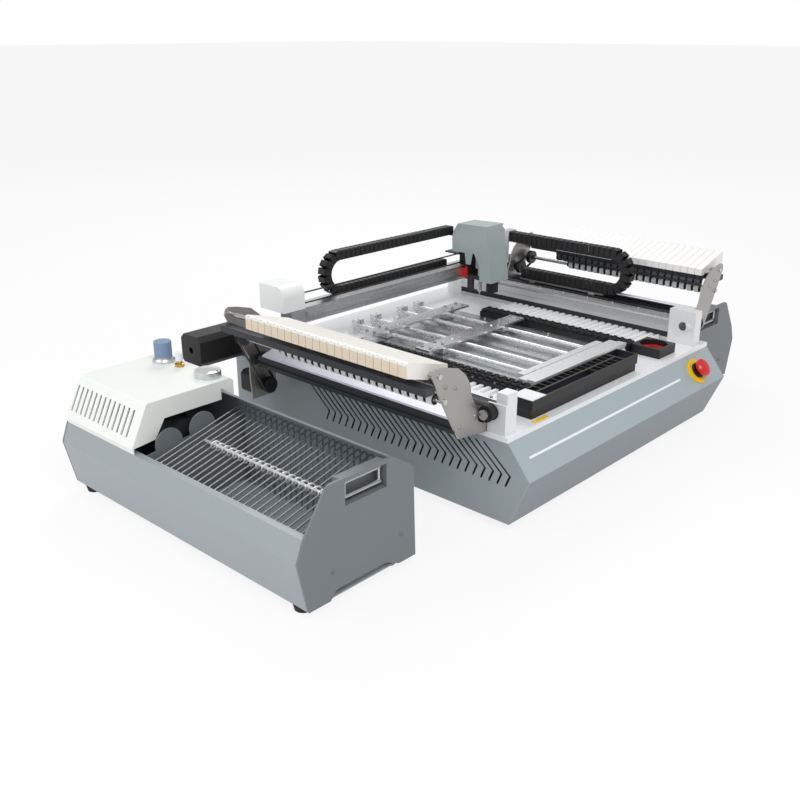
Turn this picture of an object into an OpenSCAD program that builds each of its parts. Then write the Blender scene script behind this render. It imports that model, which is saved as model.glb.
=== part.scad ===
// Desktop pick and place machine with two tape racks and two reel trays.
// Millimetres. +X is the machine's right, +Y its back, +Z up.
// The origin is on the floor under the middle of the whole set.

/* [Body] */
// Width of the machine body
body_w = 650; // [620:10:680]
// Depth of the machine body over the front crease
body_d = 700; // [690:10:760]
// Height of the deck's underside above the floor
deck_z = 150; // [146:2:160]
// Height of the feet
foot_h = 15; // [10:1:18]
// Thickness of the folded sheet metal
sheet = 2; // [1.5:0.5:3]
// Thickness of the deck plate
deck_t = 8; // [6:1:10]
// How far the front panel's top edge stands behind its crease
brow_in = 43; // [30:1:50]
// How far the front panel's bottom edge stands behind its crease
chin_in = 34; // [20:1:45]
// Height of the front crease above the panel's bottom edge
crease_h = 82; // [60:1:95]

/* [Feeders] */
// Distance from one tape lane to the next
lane_pitch = 16; // [14:1:18]
// Tape lanes on each side
lanes = 22; // [12:1:22]
// Width of a tape slot in the side panels
slot_w = 4; // [3:0.5:6]

/* [Gantry] */
// Height of the gantry beam's section
beam_h = 28; // [24:1:32]
// Depth of the gantry beam's section
beam_t = 30; // [26:1:34]
// Distance from the body's back to the gantry beam's front face at rest
beam_back = 166; // [156:1:180]
// Height of the gantry beam's underside above the deck
beam_lift = 74; // [72:1:82]
// Bend radius of the cable chains at the middle of the link
chain_r = 34; // [30:1:38]
// Height of a chain link
link_h = 18; // [14:1:20]
// Width of a chain link
link_w = 22; // [18:1:24]

/* [Head] */
// Width of the head cover
head_w = 60; // [56:1:68]
// Depth of the head cover
head_d = 107; // [100:1:115]
// Left face of the head cover at rest
head_x = 154; // [140:1:160]
// Distance between the two nozzles
nozzle_gap = 34; // [30:1:38]

/* [Reel trays] */
// Length of a reel tray
tray_len = 588; // [560:4:600]
// Radius of the divider wires
wire_r = 1.5; // [1:0.25:2]

/* [Hidden] */
$fn = 48;
// Radial clearance of a shaft that turns in its bore
run_fit = 0.05;
// Air between parts of two bodies that pass each other
air = 0.5;
// Air between a belt and its pulley
belt_air = 0.2;

half_w = body_w / 2;
front_y = -body_d / 2;
back_y = body_d / 2;
deck_top = deck_z + deck_t;
brow_y = front_y + brow_in;
chin_y = front_y + chin_in;
crease_z = foot_h + crease_h;
beam_y = back_y - beam_back;
beam_z = deck_top + beam_lift;

// The emergency stop stands square on the upper front panel; its rim is the foremost point.
estop_x = half_w - 82;
estop_y = brow_y - brow_in * 0.5;
estop_z = deck_z - (deck_z - crease_z) * 0.5;
panel_tilt = atan2(deck_z - crease_z, brow_in);
estop_cap_z = 13.2;
estop_cap_r = 17;
estop_front = estop_y - sin(panel_tilt) * (estop_cap_z + 10) - cos(panel_tilt) * (estop_cap_r - 3);

// Y drive: beams, belts, shaft and pulleys
y_beam_w = 25;
y_beam_h = 42;
y_beam_top = deck_top + y_beam_h;
rail_w = 12;
rail_h = 8;
left_beam_x = -half_w + 5;
right_beam_x = half_w - 47;
block_h = 67;
shaft_z = deck_top + 36;
left_idler_y = front_y + 75;
right_idler_y = front_y + 67;
drive_y = back_y - 50;
pulley_r = 11;
belt_t = 1.5;
belt_w = 10;
pulley_w = 14;
shaft_r = 6;
axle_r = 4;
left_belt_x = left_beam_x - 13;
right_belt_x = right_beam_x + y_beam_w + 10;

// PCB bed
bed_x = 150;
bed_front = front_y + 118;
bed_back = back_y - 150;
bed_t = 6;
rod_r = 4;
rod_z = deck_top + bed_t + 8;
rod_xs = [-92, -40, 40, 92];
rod_front = bed_front + 36;
rod_back = bed_back + 46;
bar_w = 34;
bar_t = 4;
bar_z = rod_z + rod_r + 3;
back_bar_y = bed_back - 32;
middle_bar_y = (bed_front + bed_back) / 2 + 40;

// Tape racks, described as the left one in (distance from the body's side, height above the deck)
rack_toe = 4;
rack_front_y = front_y + 85;
rack_back_y = back_y - 145;
plate_t = 3;
lever_y0 = rack_front_y + 13;
lever_pivot = [-111, 118];
roller_at = [-100, 77];
roller_r = 9.5;
pinch_at = [-77, 95];
pinch_r = 8;
rack_shaft_r = 4;
left_motor_at = [-48, -25];
right_motor_at = [-60, 60];
take_up_r = 12;
take_up_belt_y = rack_back_y - 14;

// Gantry
x_belt_z = beam_z + beam_h + 17;
x_belt_y = beam_y + 6;
x_pulley_r = 9;
x_motor_x = -half_w + 10;
x_idler_x = right_beam_x + 12;
rail_front = 4;
chain_y = beam_y + beam_t + 13;
chain_low_z = beam_z + beam_h + 3;
chain_curl_x = -half_w + 162;
chain_end_x = right_beam_x - 128;
y_chain_x = half_w + 3;
y_chain_low_z = deck_top + 63;
y_chain_curl_y = beam_y - 257;
y_chain_r = 38;
y_link_h = 22;
y_link_w = 24;
y_chain_fixed_y = beam_y - 34;
y_chain_moving_y = beam_y + 20;

// Head
head_y = beam_y + 23 - head_d;
head_top = beam_z + 121;
head_bottom = beam_z + 4;
cover_t = 1.5;
nozzle_x = head_x + head_w / 2 - 20;
nozzle_y = head_y + 37;
nozzle_tip_z = deck_top + 45;
camera_at = [head_x + head_w / 2 - 2, head_y + 18];
camera_r = 13;
plate_y = beam_y - 18;
guide_z = beam_z + 6;
carriage_w = (head_w - 12) / 2;
slide_h = 20;

// Pickup combs, and what stands on the front of the deck
comb_x = bed_x + 1;
comb_w = 34;
comb_y0 = front_y + 122;
comb_h = 16;
parts_at = [-half_w + 84, front_y + 59];
parts_size = [322, 44, 18];
parts_lift = 14;
up_cam = [half_w - 160, front_y + 60];
up_cam_w = 60;
up_cam_h = 18;

// Reel trays, described as the left one in (distance from the body's side, height above the floor)
tray_outer = 389.6;
tray_inner = 163.6;
tray_y = front_y + 81.2;
right_tray_dx = -132.6;
right_tray_dy = 20.8;
machine_x = -right_tray_dx / 2;
machine_y = (front_y - estop_front) / 2;
cover_y0 = tray_y + tray_len - 199.2;
cover_top = 200;
lip_z = 170.5;
partition_y = cover_y0 - 12;
knob_at = [-211, cover_y0 + 152];
valve_at = [-208, cover_y0 + 110];
gauge_at = [-206, cover_y0 + 34];
handle_at = [-263.5, 182];
handle_w = 79;
handle_y = tray_y + 9;
handle_drop = 35;
handle_r = 2.5;
hinge_z = handle_at[1] - 6;
wire_gap = 13.4;
wire_y0 = tray_y + 27.4;
wires = floor((partition_y - wire_y0) / wire_gap);
wire_from = [-379, 111];
wire_to = [-181, 163];
wire_slope = atan2(wire_to[1] - wire_from[1], wire_to[0] - wire_from[0]);
coil_x = -289;
coil_z = wire_from[1] + (coil_x - wire_from[0]) * tan(wire_slope) + wire_r / cos(wire_slope) + 4.3;

// ---------- placing and shared shapes ----------

// The machine's own middle lies beside the origin: the trays stand unevenly and the stop button sticks out.
module machine() { translate([machine_x, machine_y, 0]) children(); }

// Extrudes a (Y, Z) outline along X from x0.
module along_x(x0, len) { translate([x0, 0, 0]) rotate([90, 0, 90]) linear_extrude(len) children(); }

// Extrudes an (X, Z) outline along Y from y0.
module along_y(y0, len) { translate([0, y0 + len, 0]) rotate([90, 0, 0]) linear_extrude(len) children(); }

// A rod along X, Y or Z from its start point.
module rod_x(at, len, r) { translate(at) rotate([0, 90, 0]) cylinder(h = len, r = r); }
module rod_y(at, len, r) { translate(at) rotate([-90, 0, 0]) cylinder(h = len, r = r); }
module rod_z(at, len, r) { translate(at) cylinder(h = len, r = r); }

// A button-head screw standing on a face, along X, Y or Z by its rotation.
module screw(at, turn = [0, 0, 0], r = 3.5) {
    translate(at) rotate(turn) difference() {
        cylinder(h = r * 0.6, r1 = r, r2 = r * 0.7, $fn = 24);
        translate([0, 0, r * 0.25]) cylinder(h = r, r = r * 0.4, $fn = 6);
    }
}

// The flat outline of two equal discs and the strip that joins them.
module stadium(a, b, r) {
    d = b - a;
    translate(a) circle(r = r);
    translate(b) circle(r = r);
    translate(a) rotate(atan2(d[1], d[0])) translate([0, -r]) square([norm(d), 2 * r]);
}

// A closed belt round two equal pulleys, as an outline: two half rings and two straight runs.
module belt_outline(a, b, r) {
    d = b - a;
    translate(a) rotate(atan2(d[1], d[0])) {
        half_ring(r + belt_air, r + belt_t);
        translate([norm(d), 0]) rotate(180) half_ring(r + belt_air, r + belt_t);
        for (y = [r + belt_air, -r - belt_t]) translate([0, y]) square([norm(d), belt_t - belt_air]);
    }
}

// The half of a ring that lies at negative x.
module half_ring(inner, outer) {
    difference() {
        circle(r = outer);
        circle(r = inner);
        translate([0, -2 * outer]) square(4 * outer);
    }
}

// A toothed pulley along Z with two flanges, centred on its width.
module toothed_pulley(r, w, bore_r) {
    teeth = floor(r * 2);
    difference() {
        union() {
            translate([0, 0, -w / 2]) linear_extrude(w) difference() {
                circle(r = r);
                for (i = [0 : teeth - 1]) rotate(i * 360 / teeth) translate([r, 0]) circle(r = 0.6, $fn = 8);
            }
            for (s = [-1, 1]) translate([0, 0, s * (w / 2 - 0.75) - 0.75]) cylinder(h = 1.5, r = r + 2.5);
        }
        translate([0, 0, -w]) cylinder(h = 2 * w, r = bore_r);
    }
}

// ---------- body ----------

function front_outline(inset) = [
    [brow_y + inset, deck_z],
    [front_y + inset, crease_z],
    [chin_y + inset, foot_h],
];

module front_panel() machine() color("gray") {
    difference() {
        along_x(-half_w + sheet, body_w - 2 * sheet)
            polygon(concat(front_outline(0), [[chin_y + 16, foot_h], [chin_y + 16, foot_h + sheet],
                [chin_y + sheet * 1.2, foot_h + sheet], [front_y + sheet * 1.3, crease_z],
                [brow_y + sheet * 1.3, deck_z - sheet], [brow_y + 16, deck_z - sheet], [brow_y + 16, deck_z]]));
        on_panel() translate([0, 0, -10]) cylinder(h = 20, r = 11);
    }
}

// One chevron slot that follows the front edge, moved back by dy.
module chevron_slot(dy) {
    top = [brow_y + dy + brow_in * 0.2, deck_z - (deck_z - crease_z) * 0.2];
    mid = [front_y + dy, crease_z];
    low = [front_y + dy + chin_in * 0.22, crease_z - crease_h * 0.22];
    stadium(top, mid, slot_w / 2, $fn = 24);
    stadium(mid, low, slot_w / 2, $fn = 24);
}

module side_outline() {
    polygon(concat(front_outline(0), [[back_y - sheet, foot_h], [back_y - sheet, deck_z]]));
}

module side_panels() machine() color("gray") {
    for (s = [-1, 1]) along_x(s > 0 ? half_w - sheet : -half_w, sheet) difference() {
        side_outline();
        for (i = [0 : lanes + 3]) chevron_slot(36 + i * lane_pitch);
    }
}

// The floor pan and the back panel are one folded sheet.
module base_pan() machine() color("dimgray") {
    difference() {
        along_x(-half_w + sheet, body_w - 2 * sheet) polygon([
            [chin_y + 16.2, foot_h], [back_y, foot_h], [back_y, deck_z], [back_y - 14, deck_z],
            [back_y - 14, deck_z - sheet], [back_y - sheet, deck_z - sheet],
            [back_y - sheet, foot_h + sheet], [chin_y + 16.2, foot_h + sheet]]);
        for (x = [-220 : 12 : -100]) translate([x, back_y - 6, crease_z - 20]) cube([5, 12, 45]);
        rod_y([120, back_y - 6, crease_z], 12, 8);
        translate([170, back_y - 6, crease_z - 14]) cube([48, 12, 28]);
    }
}

module deck_plate() machine() color("lightgray") {
    difference() {
        translate([-half_w, brow_y, deck_z]) cube([body_w, body_d - brow_in, deck_t]);
        for (x = [-240 : 80 : 240]) rod_z([x, brow_y + 10, deck_z - 1], deck_t + 2, 2.25);
    }
    for (x = [-240 : 80 : 240]) rod_z([x, brow_y + 10, deck_top - 5], 5.6, 2.2);
}

module foot(at) {
    translate(at) {
        cylinder(h = foot_h * 0.6, r1 = 13, r2 = 15);
        translate([0, 0, foot_h * 0.6]) cylinder(h = foot_h * 0.4, r = 9);
    }
}

module feet() machine() color("black") {
    for (x = [-half_w + 45, half_w - 45], y = [chin_y + 50, back_y - 50]) foot([x, y, 0]);
    for (k = [0, 1], x = [-tray_outer + 35.6, -tray_inner - 26.4], y = [tray_y + 32.8, tray_y + tray_len - 25.2])
        tray_place(k) foot([x, y, 0]);
}

// ---------- Y drive ----------

// The beam's section: a foot, a dark slot, and a wide head with a groove.
module y_beam_section() {
    difference() {
        square([y_beam_w, y_beam_h]);
        for (x = [-1, y_beam_w - 3]) translate([x, 10]) square([4, 8]);
        for (x = [-1, y_beam_w - 1.5]) translate([x, 28]) square([2.5, 3]);
    }
    translate([(y_beam_w - rail_w) / 2, y_beam_h]) square([rail_w, rail_h]);
}

left_block_y = [front_y + 50, front_y + 70];
right_block_y = [front_y + 50, front_y + 105];

module y_beams() machine() color("silver") {
    difference() {
        translate([left_beam_x, 0, deck_top]) along_y(left_block_y[1], drive_y - 20 - left_block_y[1])
            y_beam_section();
        rod_x([left_beam_x - 1, left_idler_y, shaft_z], y_beam_w + 2, axle_r);
    }
    translate([right_beam_x, 0, deck_top]) along_y(right_block_y[1], drive_y - 20 - right_block_y[1])
        y_beam_section();
    y_chain_shelf();
}

// The shelf under the Y chain's lower run, carried past the belt by two cranked feet.
module y_chain_shelf() {
    foot_x = right_beam_x + y_beam_w;
    under = y_chain_low_z - y_link_h / 2;
    y0 = y_chain_curl_y + 10;
    translate([y_chain_x - 1, y0, under - 3]) cube([y_link_w + 2, y_chain_fixed_y - y0, 3]);
    for (y = [y0 + 20, y_chain_fixed_y - 40]) along_y(y, 14) polygon([[foot_x, deck_top + 4],
        [y_chain_x, deck_top + 4], [y_chain_x, under - 3], [y_chain_x - 3, under - 3],
        [y_chain_x - 3, deck_top + 8], [foot_x, deck_top + 8]]);
}

module bearing_blocks() machine() color("gainsboro") {
    translate([left_beam_x, left_block_y[0], deck_top])
        cube([y_beam_w, left_block_y[1] - left_block_y[0], block_h]);
    translate([right_beam_x, right_block_y[0], deck_top])
        cube([y_beam_w, right_block_y[1] - right_block_y[0], block_h]);
    for (x = [left_beam_x, right_beam_x]) difference() {
        translate([x, drive_y - 20, deck_top]) cube([y_beam_w, 40, block_h]);
        rod_x([x - 1, drive_y, shaft_z], y_beam_w + 2, shaft_r + run_fit);
    }
    // idler axles: a bolt across each beam's front end, with its head outside the pulley
    idler_bolt(left_beam_x + y_beam_w, left_idler_y, -1);
    idler_bolt(right_beam_x, right_idler_y, 1);
    // steel angle that ties the left bolt's beam end to the block
    translate([left_beam_x - 3, left_block_y[0], deck_top]) difference() {
        cube([3, rack_front_y - 1 - left_block_y[0], block_h - 18]);
        rod_x([-1, left_idler_y - left_block_y[0], shaft_z - deck_top], 5, axle_r);
    }
}

module idler_bolt(x, y, s) {
    reach = y_beam_w + 22;
    rod_x([s < 0 ? x - reach : x, y, shaft_z], reach, axle_r);
    rod_x([s < 0 ? x - reach - 5 : x + reach, y, shaft_z], 5, 8);
    rod_x([s < 0 ? x : x - 3, y, shaft_z], 3, 6.5);
}

module y_motor() machine() color("black") {
    body_x = left_beam_x - 30;
    size = 57;
    cut = 9;
    translate([body_x - 110, drive_y, shaft_z]) rotate([90, 0, 90]) {
        linear_extrude(110) difference() {
            polygon([for (q = [0 : 3], e = [0, 1]) let (a = q * 90, x = size / 2 - (e == 0 ? 0 : cut),
                y = size / 2 - (e == 0 ? cut : 0)) [x * cos(a) - y * sin(a), x * sin(a) + y * cos(a)]]);
            circle(r = shaft_r + run_fit);
        }
    }
    // flange plate that carries the motor on the deck's side
    difference() {
        translate([body_x, drive_y - size / 2, deck_top]) cube([5, size, size + 4]);
        rod_x([body_x - 1, drive_y, shaft_z], 7, 12);
    }
    translate([body_x, drive_y - size / 2, deck_top]) cube([30, size, 4]);
}

module y_drive_shaft() machine() color("silver") {
    x0 = left_beam_x - 60;
    rod_x([x0, drive_y, shaft_z], right_belt_x + pulley_w / 2 + 3 - x0, shaft_r);
    for (x = [left_belt_x, right_belt_x]) translate([x, drive_y, shaft_z]) rotate([0, 90, 0])
        toothed_pulley(pulley_r, pulley_w, shaft_r);
}

module y_idler(x, y) {
    translate([x, y, shaft_z]) rotate([0, 90, 0]) toothed_pulley(pulley_r, pulley_w, axle_r + run_fit);
}

module left_idler() machine() color("dimgray") y_idler(left_belt_x, left_idler_y);
module right_idler() machine() color("dimgray") y_idler(right_belt_x, right_idler_y);

module y_belts() machine() color("black") {
    for (b = [[left_belt_x, left_idler_y], [right_belt_x, right_idler_y]]) along_x(b[0] - belt_w / 2, belt_w)
        belt_outline([b[1], shaft_z], [drive_y, shaft_z], pulley_r);
}

// ---------- PCB bed ----------

module pcb_bed() machine() color("silver") {
    difference() {
        translate([-bed_x, bed_front, deck_top]) cube([2 * bed_x, bed_back - bed_front, bed_t]);
        for (x = [-120, -66, 0, 66, 120]) translate([x, 0, deck_top - 1]) linear_extrude(bed_t + 2)
            stadium([0, bed_front + 60], [0, bed_back - 60], 4);
    }
}

// Four guide rods, each in a clamping support at the back and in the rail at the front.
module bed_rods() machine() color("whitesmoke") {
    for (x = rod_xs) {
        rod_y([x, rod_front, rod_z], rod_back + 8 - rod_front, rod_r);
        rod_support(x);
    }
}

module rod_support(x) {
    difference() {
        union() {
            translate([x - 21, rod_back - 7, deck_top]) cube([42, 14, 6]);
            translate([x - 10, rod_back - 7, deck_top + 6]) cube([20, 14, rod_z + 12 - deck_top - 6]);
        }
        rod_y([x, rod_back - 8, rod_z], 16, rod_r);
        translate([x - 1, rod_back - 8, rod_z + rod_r - 1]) cube([2, 16, 20]);
    }
    for (s = [-1, 1]) screw([x + s * 15, rod_back, deck_top + 6]);
}

// A board clamp bar with a bearing block on each outer rod.
module clamp_bar(y) {
    translate([-bed_x + 3, y - bar_w / 2, bar_z]) cube([2 * bed_x - 6, bar_w, bar_t]);
    for (x = [rod_xs[0], rod_xs[3]]) difference() {
        translate([x - 11, y - 13, rod_z - rod_r - 2.5]) cube([22, 26, bar_z - rod_z + rod_r + 2.5]);
        rod_y([x, y - 14, rod_z], 28, rod_r + run_fit);
    }
    for (x = [-60, 60]) {
        screw([x, y, bar_z + bar_t]);
        rod_z([x + 8, y - bar_w / 2 + 5, bar_z + bar_t], 5, 2.5);
    }
}

module back_bar() machine() color("silver") clamp_bar(back_bar_y);
module middle_bar() machine() color("silver") clamp_bar(middle_bar_y);

module front_rail() machine() color("whitesmoke") {
    difference() {
        union() {
            translate([-bed_x + 4, rod_front - 14, deck_top + bed_t]) cube([2 * bed_x - 8, 16, 16]);
            translate([-bed_x + 4, rod_front - 34, deck_top + bed_t]) cube([2 * bed_x - 8, 20, 5]);
            translate([-bed_x + 4, rod_front - 34, deck_top + bed_t + 12]) cube([2 * bed_x - 8, 17, 6]);
            for (x = [-bed_x + 4, 0, bed_x - 16]) translate([x, rod_front - 32, deck_top + bed_t]) cube([12, 18, 14]);
        }
        for (x = rod_xs) rod_y([x, rod_front, rod_z], 10, rod_r);
    }
    translate([-bed_x + 22, rod_front + 3, deck_top + bed_t + 10]) difference() {
        cube([2 * bed_x - 50, 14, 7]);
        translate([-1, -1, -1]) cube([2 * bed_x, 5, 5]);
        for (x = rod_xs) translate([x + bed_x - 22 - rod_r, -1, -1]) cube([2 * rod_r, 16, rod_z + rod_r - deck_top - bed_t - 9]);
    }
}

// ---------- tape guides ----------

// A pickup comb: a rail with one hump and one tape window to each lane.
module pickup_comb(s) {
    len = lanes * lane_pitch;
    hump_r = 7;
    difference() {
        union() {
            translate([s > 0 ? comb_x : -comb_x - comb_w, comb_y0, deck_top]) cube([comb_w, len, comb_h]);
            for (i = [0 : lanes - 1]) {
                y = comb_y0 + (i + 0.5) * lane_pitch;
                rod_x([s > 0 ? comb_x + 3 : -comb_x - comb_w + 3, y, deck_top + comb_h], comb_w - 6, hump_r);
            }
        }
        for (i = [0 : lanes - 1]) {
            y = comb_y0 + (i + 0.5) * lane_pitch;
            translate([s > 0 ? comb_x + 8 : -comb_x - 22, y - 2.5, deck_top + comb_h - 4]) cube([14, 5, 30]);
            translate([s > 0 ? comb_x + 26 : -comb_x - 31, y - 5.5, deck_top + comb_h + 3]) cube([5, 11, 30]);
        }
    }
}

// White tape channels from the beam to the comb, one groove to each lane.
module tape_channels(s) {
    x_in = comb_x + comb_w + 1;
    x_out = s < 0 ? -left_beam_x - y_beam_w - 1 : right_beam_x - 1;
    len = lanes * lane_pitch;
    difference() {
        translate([s > 0 ? x_in : -x_out, comb_y0, deck_top]) cube([x_out - x_in, len, 10]);
        for (i = [0 : lanes - 1])
            translate([s > 0 ? x_in - 1 : -x_out - 1, comb_y0 + (i + 0.5) * lane_pitch - 4.5, deck_top + 5])
                cube([x_out - x_in + 2, 9, 10]);
    }
}

module tape_guides() machine() {
    color("black") for (s = [-1, 1]) pickup_comb(s);
    color("white") for (s = [-1, 1]) tape_channels(s);
}

// ---------- parts tray, cameras, emergency stop ----------

module parts_tray() machine() translate([parts_at[0], parts_at[1], deck_top]) {
    size = parts_size;
    color("gray") translate([2, 2, 0]) cube([size[0] - 4, size[1] - 4, parts_lift]);
    translate([0, 0, parts_lift]) {
        color("black") difference() {
            cube(size);
            // a row of pockets behind a long one, with a square one at the end
            for (i = [0 : 13]) translate([42 + i * 17, 24, 4]) cube([15, 17, 20]);
            translate([42, 3, 4]) cube([150, 17, 20]);
            for (i = [0 : 4]) translate([195 + i * 17, 3, 4]) cube([15, 17, 20]);
            translate([283, 3, 4]) cube([36, 38, 20]);
        }
        color("white") translate([2, 2, size[2]]) cube([36, size[1] - 4, 0.8]);
    }
}

module up_camera() machine() {
    centre = up_cam + [up_cam_w / 2, up_cam_w / 2];
    color("black") translate([0, 0, deck_top]) linear_extrude(up_cam_h) difference() {
        translate(up_cam) square(up_cam_w);
        translate(centre) rotate(22.5) circle(r = up_cam_w * 0.45, $fn = 8);
    }
    color("firebrick") translate([centre[0], centre[1], deck_top]) difference() {
        cylinder(h = 8, r = 22);
        translate([0, 0, -1]) cylinder(h = 10, r = 14);
    }
    color("dimgray") translate([centre[0], centre[1], deck_top]) cylinder(h = 6, r = 10);
}

// Puts a piece square on the upper front panel, at the emergency stop.
module on_panel() {
    translate([estop_x, estop_y, estop_z]) rotate([panel_tilt, 0, 0]) children();
}

module estop_base() machine() {
    color("gold") on_panel() difference() {
        cylinder(h = 3.1, r = 25);
        translate([0, 0, -1]) cylinder(h = 6, r = 11);
    }
    color("black") on_panel() difference() {
        translate([0, 0, 3.1]) cylinder(h = 4, r = 15);
        translate([0, 0, 2]) cylinder(h = 6, r = 6 + run_fit);
    }
}

module estop_plunger() machine() color("firebrick") on_panel() {
    translate([0, 0, -8]) cylinder(h = estop_cap_z + 10, r = 6);
    translate([0, 0, estop_cap_z + 1]) cylinder(h = 4, r = 4);
}

module estop_cap() machine() color("red") on_panel() translate([0, 0, estop_cap_z]) difference() {
    rotate_extrude() polygon([[0, 2.1], [8, 2.1], [8, 0], [estop_cap_r - 2, 0], [estop_cap_r, 2],
        [estop_cap_r, 7], [estop_cap_r - 3, 10], [8, 12], [0, 12.5]]);
    translate([0, 0, -1]) cylinder(h = 6.2, r = 4 + run_fit);
    translate([0, 0, -1]) cylinder(h = 3.2, r = 6 + run_fit);
}

// ---------- tape racks ----------

// Puts a rack on the edge of the deck: the left one for k = 0, its mirror image for k = 1.
module rack_place(k) { mirror([k, 0, 0]) translate([-half_w, 0, deck_top]) children(); }
function motor_at(k) = k == 0 ? left_motor_at : right_motor_at;

module plate_outline() {
    polygon([[-126, 118], [-123, 128], [-116, 131], [-98, 128], [-69, 120], [-52, 106], [-41, 89], [-36, 67],
        [-24, 46], [-19, 23], [-6, 16], [rack_toe, 16], [rack_toe, 0], [-6, 0], [-65, 8], [-78, 29], [-99, 67],
        [-117, 99]]);
}

// Only the left rack's motor hangs below its back plate, on a leg.
module back_leg(k) {
    at = motor_at(k);
    if (k == 0) polygon([[-79, 32], [at[0] - 31, at[1] + 24], [at[0] - 28, at[1] - 24], [at[0] + 24, at[1] - 24],
        [at[0] + 29, at[1] + 33], [-24, 32]]);
}

module rack_end_plates() machine() color("darkgray") {
    for (k = [0, 1]) rack_place(k) {
        difference() {
            along_y(rack_front_y, plate_t) plate_outline();
            rod_y([roller_at[0], rack_front_y - 1, roller_at[1]], plate_t + 2, rack_shaft_r + run_fit);
            rod_y([lever_pivot[0], rack_front_y - 1, lever_pivot[1]], plate_t + 2, rack_shaft_r);
        }
        difference() {
            along_y(rack_back_y, plate_t) union() {
                plate_outline();
                back_leg(k);
            }
            rod_y([roller_at[0], rack_back_y - 1, roller_at[1]], plate_t + 2, rack_shaft_r + run_fit);
            rod_y([lever_pivot[0], rack_back_y - 1, lever_pivot[1]], plate_t + 2, rack_shaft_r);
            rod_y([motor_at(k)[0], rack_back_y - 1, motor_at(k)[1]], plate_t + 2, 9);
        }
        for (p = [[-97, 98], [-75, 91], [-28, 34], [-63, 26]]) screw([p[0], rack_front_y, p[1]], [90, 0, 0]);
    }
}

// The long bars between a rack's plates: bottom extrusion, tape chute, top bar and pivot shaft.
module rack_bars() machine() {
    len = rack_back_y - rack_front_y - plate_t;
    y0 = rack_front_y + plate_t;
    for (k = [0, 1]) rack_place(k) {
        color("dimgray") difference() {
            along_y(y0, len) difference() {
                translate([-75, 18]) square([28, 19]);
                translate([-76, 25]) square([4, 5]);
                translate([-64, 34]) square([6, 4]);
            }
            // room for the take-up belt
            if (k == 0) translate([-76, take_up_belt_y - 6, 12]) cube([23.5, 12, 30]);
        }
        color("gainsboro") along_y(y0 + 2, len - 34) polygon([[-76, 39], [-75, 42], [-31, 54], [-30, 51]]);
        color("dimgray") along_y(y0, len) translate([-137, 93]) square([20, 11]);
        color("silver") rod_y([lever_pivot[0], rack_front_y - 2, lever_pivot[1]], len + 2 * plate_t + 4, rack_shaft_r);
    }
}

// One peeling lever: a wedge above the pivot with a leg that carries the pinch ring.
module lever_outline() {
    difference() {
        polygon([[-160, 123], [-160, 145], [-155, 146], [-71, 123], [-71, 110], [-74, 99], [-80, 99], [-84, 113],
            [-115, 110]]);
        translate(lever_pivot) circle(r = rack_shaft_r + run_fit);
    }
}

module lever_bank() {
    gap = 1;
    for (i = [0 : lanes - 1]) {
        y = lever_y0 + 6 + i * lane_pitch;
        color("antiquewhite") along_y(y, lane_pitch - gap) lever_outline();
        color("dimgray") along_y(y + 3, lane_pitch - gap - 6) difference() {
            translate(pinch_at) circle(r = pinch_r, $fn = 24);
            translate(pinch_at) circle(r = 3.5, $fn = 24);
        }
    }
    // the pull tube that ties the levers together
    color("white") rod_y([-149, lever_y0 + 6, 132], lanes * lane_pitch - gap, 3);
}

module left_levers() machine() rack_place(0) lever_bank();
module right_levers() machine() rack_place(1) lever_bank();

// The take-up roller: a shaft, one ring to each lane, and its pulley at the back.
module roller() {
    color("silver") rod_y([roller_at[0], rack_front_y - 3, roller_at[1]], rack_back_y - rack_front_y + plate_t + 6,
        rack_shaft_r);
    for (i = [0 : lanes - 2]) color("white") difference() {
        rod_y([roller_at[0], lever_y0 + 4 + i * lane_pitch, roller_at[1]], lane_pitch * 0.62, roller_r);
        rod_y([roller_at[0], lever_y0 + 3 + i * lane_pitch, roller_at[1]], lane_pitch, rack_shaft_r);
    }
    color("black") difference() {
        rod_y([roller_at[0], lever_y0 + 4, roller_at[1]], (lanes - 1) * lane_pitch, roller_r - 2.5);
        rod_y([roller_at[0], lever_y0 + 3, roller_at[1]], (lanes - 1) * lane_pitch + 2, rack_shaft_r);
        for (i = [0 : lanes - 2]) rod_y([roller_at[0], lever_y0 + 4 + i * lane_pitch, roller_at[1]],
            lane_pitch * 0.62, roller_r);
    }
    color("dimgray") translate([roller_at[0], take_up_belt_y, roller_at[1]]) rotate([90, 0, 0])
        toothed_pulley(take_up_r, 10, rack_shaft_r);
}

module left_roller() machine() rack_place(0) roller();
module right_roller() machine() rack_place(1) roller();

module pinion(k) {
    at = motor_at(k);
    color("dimgray") translate([at[0], take_up_belt_y, at[1]]) rotate([90, 0, 0]) toothed_pulley(take_up_r, 10, 2.5);
    color("silver") rod_y([at[0], take_up_belt_y - 7, at[1]], 38, 2.5);
}

module left_pinion() machine() rack_place(0) pinion(0);
module right_pinion() machine() rack_place(1) pinion(1);

// Take-up motors behind the back plates, and their belts in front of them.
module take_up_drives() machine() {
    for (k = [0, 1]) rack_place(k) {
        at = motor_at(k);
        color("black") difference() {
            along_y(rack_back_y + plate_t, 38) translate(at) polygon([[-21, -15], [-15, -21], [15, -21], [21, -15],
                [21, 15], [15, 21], [-15, 21], [-21, 15]]);
            rod_y([at[0], rack_back_y, at[1]], 30, 2.5 + run_fit);
        }
        color("black") along_y(take_up_belt_y - 3, 6) belt_outline(at, roller_at, take_up_r);
    }
}

// ---------- reel trays ----------

// k = 0 is the left tray; k = 1 is its mirror image, set closer to the machine.
module tray_place(k) {
    translate([k * right_tray_dx, k * right_tray_dy, 0]) mirror([k, 0, 0]) translate([-half_w, 0, 0]) children();
}

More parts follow.
